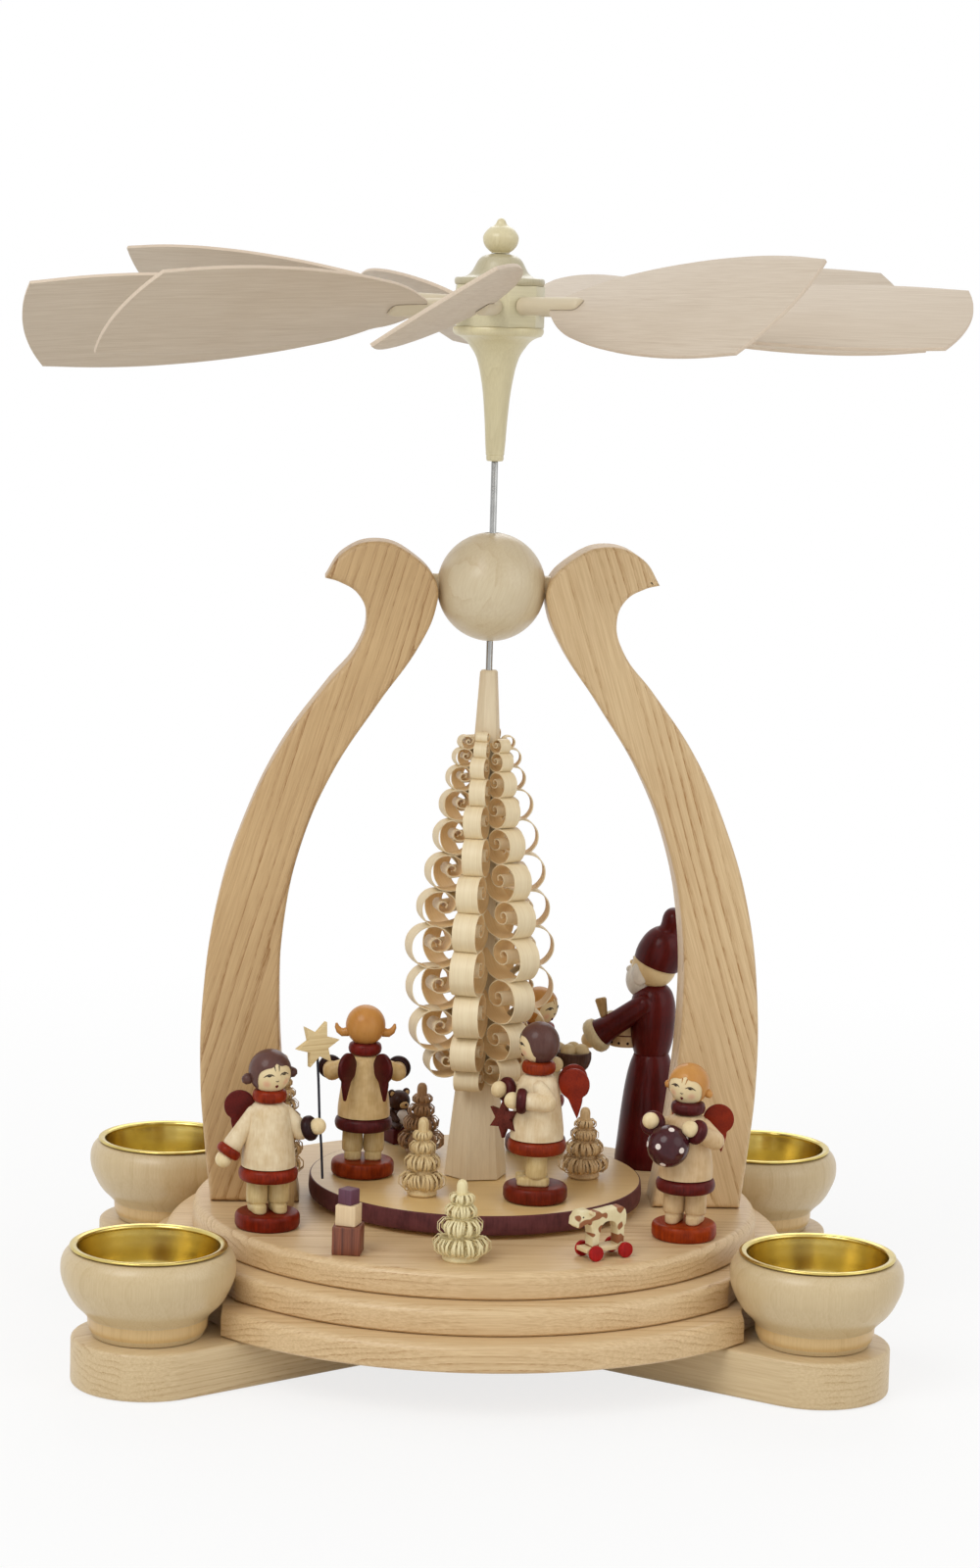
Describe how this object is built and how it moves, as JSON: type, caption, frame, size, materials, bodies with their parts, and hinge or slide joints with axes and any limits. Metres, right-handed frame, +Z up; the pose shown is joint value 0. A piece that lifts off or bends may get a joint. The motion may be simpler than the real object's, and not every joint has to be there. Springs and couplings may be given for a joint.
{
  "type": "candle carousel",
  "caption": "Wooden candle carousel: a bladed wheel on a steel shaft turns a plate of figures and a shaving tree between two arches, over tea light cups.",
  "frame": {"origin": "on the floor under the crossing of the two foot bars, on the axis of the shaft", "axes": "+Z up along the shaft; the arches stand along X, and the side seen in the picture faces -Y"},
  "size_m": [0.3034, 0.3068, 0.37],
  "materials": {
    "ash": "oiled, open grain",
    "linden": "turned and clear lacquered",
    "maple": "turned and clear lacquered",
    "birch": "bare, fine grain",
    "chips": "bare curled chips",
    "figure": "painted and lacquered",
    "robe": "stained and lacquered",
    "toy": "stained",
    "brass": "polished",
    "steel": "drawn rod"
  },
  "bodies": {
    "base": {"foot_bar_lower": "ash", "foot_bar_upper": "ash", "base_plate_lower": "ash", "base_plate_middle": "ash", "base_plate_top": "ash", "arch_left": "ash", "arch_right": "ash", "candle_cup_rear_right": "linden", "candle_liner_rear_right": "brass", "candle_cup_rear_left": "linden", "candle_liner_rear_left": "brass", "candle_cup_front_left": "linden", "candle_liner_front_left": "brass", "candle_cup_front_right": "linden", "candle_liner_front_right": "brass", "guide_ball": "linden", "ball_dowel_left": "linden", "ball_dowel_right": "linden", "guide_bush": "brass", "pivot_bearing": "brass", "angel_star_bearer": "figure", "angel_ball_bearer": "figure", "toy_cow": "figure", "star_staff": "birch", "gift_bringer": "robe", "chip_tree_base": "chips", "chip_tree_tall": "chips", "cube_stack": "toy"},
    "rotor": {"shaft": "steel", "turntable_plate": "linden", "shaving_tree": "birch", "hub_spindle": "maple", "hub_block": "maple", "hub_cap": "maple", "finial": "maple", "angel_plate_left": "figure", "angel_plate_front": "figure", "angel_plate_rear": "figure", "chip_tree_rear": "chips", "chip_tree_front": "chips", "chip_tree_right": "chips", "toy_bear": "toy"},
    "wing_1": {"blade_peg_1": "maple", "blade_1": "birch"},
    "wing_2": {"blade_peg_2": "maple", "blade_2": "birch"},
    "wing_3": {"blade_peg_3": "maple", "blade_3": "birch"},
    "wing_4": {"blade_peg_4": "maple", "blade_4": "birch"},
    "wing_5": {"blade_peg_5": "maple", "blade_5": "birch"},
    "wing_6": {"blade_peg_6": "maple", "blade_6": "birch"},
    "wing_7": {"blade_peg_7": "maple", "blade_7": "birch"},
    "wing_8": {"blade_peg_8": "maple", "blade_8": "birch"},
    "wing_9": {"blade_peg_9": "maple", "blade_9": "birch"}
  },
  "joints": [
    {"name": "rotor_spin", "type": "hinge", "parent": "base", "child": "rotor", "pos_m": [0, 0, 0], "axis": [0, 0, 1], "continuous": true},
    {"name": "blade_pitch_1", "type": "hinge", "parent": "rotor", "child": "wing_1", "pos_m": [0, 0, 0.3415], "axis": [-0.1736, 0.9848, 0], "range_deg": [-33, 57]},
    {"name": "blade_pitch_2", "type": "hinge", "parent": "rotor", "child": "wing_2", "pos_m": [0, 0, 0.3415], "axis": [-0.7657, 0.6425, 0.0297], "range_deg": [-38, 52]},
    {"name": "blade_pitch_3", "type": "hinge", "parent": "rotor", "child": "wing_3", "pos_m": [0, 0, 0.3415], "axis": [-0.9978, 0, -0.0663], "range_deg": [-39, 51]},
    {"name": "blade_pitch_4", "type": "hinge", "parent": "rotor", "child": "wing_4", "pos_m": [0, 0, 0.3415], "axis": [-0.7655, -0.6424, -0.0366], "range_deg": [-35, 55]},
    {"name": "blade_pitch_5", "type": "hinge", "parent": "rotor", "child": "wing_5", "pos_m": [0, 0, 0.3415], "axis": [-0.1736, -0.9847, -0.0122], "range_deg": [-32.5, 57.5]},
    {"name": "blade_pitch_6", "type": "hinge", "parent": "rotor", "child": "wing_6", "pos_m": [0, 0, 0.3415], "axis": [0.5, -0.866, 0.007], "range_deg": [-41, 49]},
    {"name": "blade_pitch_7", "type": "hinge", "parent": "rotor", "child": "wing_7", "pos_m": [0, 0, 0.3415], "axis": [0.9397, -0.342, -0.0052], "range_deg": [-25.5, 64.5]},
    {"name": "blade_pitch_8", "type": "hinge", "parent": "rotor", "child": "wing_8", "pos_m": [0, 0, 0.3415], "axis": [0.9396, 0.342, 0.014], "range_deg": [-38, 52]},
    {"name": "blade_pitch_9", "type": "hinge", "parent": "rotor", "child": "wing_9", "pos_m": [0, 0, 0.3415], "axis": [0.5, 0.866, 0], "range_deg": [-33, 57]}
  ]
}
